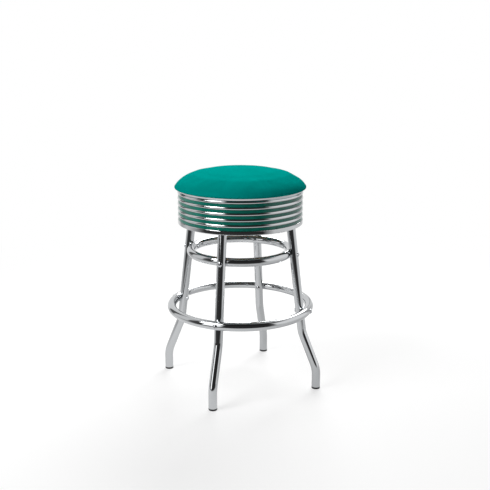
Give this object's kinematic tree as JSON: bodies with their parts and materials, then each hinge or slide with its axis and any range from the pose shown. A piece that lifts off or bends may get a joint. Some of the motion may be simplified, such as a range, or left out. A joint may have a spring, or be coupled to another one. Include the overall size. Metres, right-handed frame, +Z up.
{
  "type": "diner counter stool",
  "caption": "Backless diner counter stool: domed vinyl seat in a ribbed chrome band turns on a ball-bearing swivel over bent tube legs with a foot ring.",
  "frame": {"origin": "on the floor, on the seat's swivel axis, midway between the four feet", "axes": "+Z up along the swivel axis; +X through the right leg; +Y through the back leg; the picture was taken from the front, between the front and right legs"},
  "size_m": [0.506, 0.506, 0.6545],
  "materials": {
    "tube_chrome": "polished chrome plate",
    "glide_plastic": "moulded",
    "bolt_chrome": "polished chrome plate",
    "plate_steel": "black powder coat",
    "zinc_steel": "zinc plated",
    "cage_plastic": "moulded nylon",
    "ball_steel": "ground",
    "plywood": "raw",
    "foam": "open-cell foam",
    "seat_vinyl": "smooth vinyl, semi-gloss",
    "staple_steel": "galvanised",
    "band_chrome": "polished chrome plate",
    "stripe_green": "gloss"
  },
  "bodies": {
    "stool_frame": {"leg_right": "tube_chrome", "leg_back": "tube_chrome", "leg_left": "tube_chrome", "leg_front": "tube_chrome", "glide_right": "glide_plastic", "glide_back": "glide_plastic", "glide_left": "glide_plastic", "glide_front": "glide_plastic", "upper_ring": "tube_chrome", "foot_ring": "tube_chrome", "upper_ring_bolts": "bolt_chrome", "upper_ring_sleeve_nuts": "bolt_chrome", "foot_ring_bolts": "bolt_chrome", "foot_ring_sleeve_nuts": "bolt_chrome", "swivel_lower_plate": "plate_steel", "arm_bolts": "zinc_steel", "arm_washers": "zinc_steel", "arm_nuts": "zinc_steel", "pivot_bolt": "zinc_steel", "pivot_jam_nut": "zinc_steel", "pivot_washer": "zinc_steel", "pivot_lock_nut": "zinc_steel"},
    "ball_cage": {"swivel_ball_cage": "cage_plastic", "swivel_balls": "ball_steel"},
    "seat": {"swivel_upper_plate": "plate_steel", "plate_screws": "zinc_steel", "seat_base": "plywood", "seat_foam": "foam", "seat_cover": "seat_vinyl", "cover_staples": "staple_steel", "band": "band_chrome", "band_ledge": "zinc_steel", "band_stripe_1": "stripe_green", "band_stripe_2": "stripe_green", "band_stripe_3": "stripe_green", "band_stripe_4": "stripe_green", "band_stripe_5": "stripe_green", "band_screws": "zinc_steel"}
  },
  "joints": [
    {"name": "seat_swivel", "type": "hinge", "parent": "stool_frame", "child": "seat", "pos_m": [0, 0, 0.571], "axis": [0, 0, 1], "continuous": true},
    {"name": "ball_cage_spin", "type": "hinge", "parent": "stool_frame", "child": "ball_cage", "pos_m": [0, 0, 0.571], "axis": [0, 0, 1], "continuous": true}
  ],
  "couplings": [
    {"joint": "ball_cage_spin", "follows": "seat_swivel", "ratio": 0.5}
  ]
}
